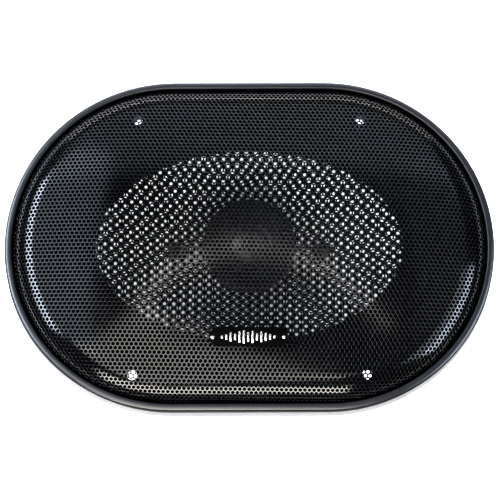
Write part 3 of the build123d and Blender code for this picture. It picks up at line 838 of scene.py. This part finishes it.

# %% [markdown]
# ## Leads
# Two braided leads run from the terminals to the back of the cone, and two thin wires from the
# front of the cone to the pod. Each flexes with the cone, and each is a tube along a smooth curve,
# made a mesh, that rides on no body.

# %% Flexible leads
def lead(name, route, thick_mm, material, plain):
    """Lead along a smooth curve through the route, riding on no body."""
    curve = bpy.data.curves.new(name, "CURVE")
    curve.dimensions, curve.bevel_depth, curve.bevel_resolution = "3D", thick_mm / 2 * MM, 3
    curve.use_fill_caps = True
    line = curve.splines.new("NURBS")
    line.points.add(len(route) - 1)
    for point, (x, y, z) in zip(line.points, route):
        point.co = (x * MM, y * MM, z * MM, 1)
    line.order_u, line.use_endpoint_u, line.resolution_u = 3, True, 6
    drawn = bpy.data.objects.new(name + "_line", curve)
    scene.collection.objects.link(drawn)
    bpy.context.view_layer.update()
    bm = bmesh.new()
    bm.from_mesh(drawn.to_mesh())
    bpy.data.objects.remove(drawn)
    piece = make_piece(name, bm, "", [plain], sharp_deg=60)
    piece.data.materials.append(material)
    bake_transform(piece)


TINSEL_T, POD_WIRE_T = 1.2, 1.0
TINSEL = [(6.5, 52.0, 47.4), (8.5, 44.0, 47.4), (13.5, 35.0, 48.2), (20.5, 26.0, 49.4),
          (28.0, 17.0, 50.4), (34.2, 8.0, 51.2), (36.6, 1.6, 53.4), (37.0, 0.0, 56.4), (37.0, 0.0, 59.4)]
POD_WIRE = [(37.0, 0.0, 66.0), (36.2, 0.0, 69.0), (33.6, 0.4, 71.2), (30.2, 0.8, 72.4),
            (26.8, 0.4, 72.6), (23.0, 0.0, 72.4)]
SIDES = ((1, "right"), (-1, "left"))
for side, word in SIDES:
    route = [(side * x, y, z) for x, y, z in TINSEL]
    lead(f"tinsel_lead_{word}", route, TINSEL_T, braid, "tinsel_leads")
    route = [(side * x, y, z) for x, y, z in POD_WIRE]
    lead(f"pod_wire_{word}", route, POD_WIRE_T, lead_skin, "tweeter_leads")

# %% [markdown]
# ## Glue and solder
# Where a lead goes through the cone, a dab of black glue holds it, and where it meets its
# terminal, a bead of solder. Both are drops: a ball, flattened, with a slow wave pushed into it.

# %% Drops
WAVE = 0.12


def drop(name, place, size, body, material, lean_deg=0.0):
    """Drop with those half sizes, leaning to one side."""
    bm = bmesh.new()
    bmesh.ops.create_icosphere(bm, subdivisions=4, radius=1.0)
    for v in bm.verts:
        turn = math.atan2(v.co.y, v.co.x)
        slow = math.sin(3 * turn + 1.1) * (1 - abs(v.co.z))
        v.co *= 1 + WAVE * slow + WAVE / 2 * math.sin(5 * turn)
    bmesh.ops.scale(bm, vec=Vector(size) * MM, verts=bm.verts)
    tilt = Matrix.Rotation(math.radians(lean_deg), 4, "Y")
    bmesh.ops.transform(bm, matrix=Matrix.Translation(Vector(place) * MM) @ tilt, verts=bm.verts)
    piece = make_piece(name, bm, body, sharp_deg=80)
    piece.data.materials.append(material)


glue = black_skin("cone_glue", (0.010, 0.010, 0.010), 0.22, 0.34, 0.8, 0.03)
solder = cloudy_metal("solder_tin", (0.55, 0.55, 0.55), (0.75, 0.75, 0.76), 0.18, 0.30, 1.5)
CONE_LEAN = 26
for side, word in SIDES:
    drop(f"glue_dab_{word}", (side * 37.2, 0, 64.7), (5.4, 4.2, 2.2), "cone_assembly",
         glue, -side * CONE_LEAN)
    drop(f"solder_bead_{word}", (side * 6.5, 52.0, 47.0), (1.7, 1.7, 0.9), "frame",
         solder)

# %% [markdown]
# ## The badge
# The badge is a small black plate with round ends, held off the sheet by two pins. Its edges are
# beveled, and in place of a name it carries a plain motif: a row of silver bars, long and short,
# like a level meter. Plate and bars are built flat and then laid on the dome.

# %% Badge
plate_low, plate_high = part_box("badge_plate")
badge_middle = (plate_low + plate_high) / 2
badge_long, badge_deep, badge_t = plate_high.x - plate_low.x, 9.0 * MM, 1.4 * MM
EDGE_BEVEL, BAR_BEVEL = 0.3 * MM, 0.08 * MM
lean = math.asin(-badge_middle.y / crown_r)
laid = Matrix.Translation(badge_middle) @ Matrix.Rotation(lean, 4, "X")

bm = bmesh.new()
bmesh.ops.create_circle(bm, cap_ends=True, segments=64, radius=badge_deep / 2)
for v in bm.verts:
    v.co.x += math.copysign(badge_long / 2 - badge_deep / 2, v.co.x) if abs(v.co.x) > 1e-7 else 0
raised = bmesh.ops.extrude_face_region(bm, geom=bm.faces[:])["geom"]
raised = [g for g in raised if isinstance(g, bmesh.types.BMVert)]
bmesh.ops.translate(bm, vec=(0, 0, badge_t), verts=raised)
rims = [e for e in bm.edges if abs(e.verts[0].co.z - e.verts[1].co.z) < 1e-7]
bmesh.ops.bevel(bm, geom=rims, affect="EDGES", offset=EDGE_BEVEL, segments=3, profile=0.5, material=-1)
bmesh.ops.transform(bm, matrix=laid @ Matrix.Translation((0, 0, -badge_t / 2)), verts=bm.verts)
plate = make_piece("badge", bm, "grille", ["badge_plate"])
plate.data.materials.append(badge_enamel)

# %% Level-meter bars
BAR_HEIGHTS = [1.4, 2.6, 4.2, 3.0, 5.4, 6.2, 4.6, 5.8, 3.4, 5.0, 3.8, 2.6, 1.4]
BAR_WIDE, BAR_STEP, BAR_UP = 1.05, 2.05, 0.22
bm = bmesh.new()
for i, tall in enumerate(BAR_HEIGHTS):
    cube = bmesh.ops.create_cube(bm, size=1.0)["verts"]
    bmesh.ops.scale(bm, vec=Vector((BAR_WIDE, tall, BAR_UP)) * MM, verts=cube)
    across = (i - (len(BAR_HEIGHTS) - 1) / 2) * BAR_STEP
    bmesh.ops.translate(bm, vec=Vector((across, 0, (badge_t / MM + BAR_UP) / 2)) * MM, verts=cube)
bmesh.ops.bevel(bm, geom=bm.edges[:], affect="EDGES", offset=BAR_BEVEL, segments=2, profile=0.5,
                material=-1)
bmesh.ops.transform(bm, matrix=laid, verts=bm.verts)
bars = make_piece("badge_bars", bm, "grille")
bars.data.materials.append(bright_steel)
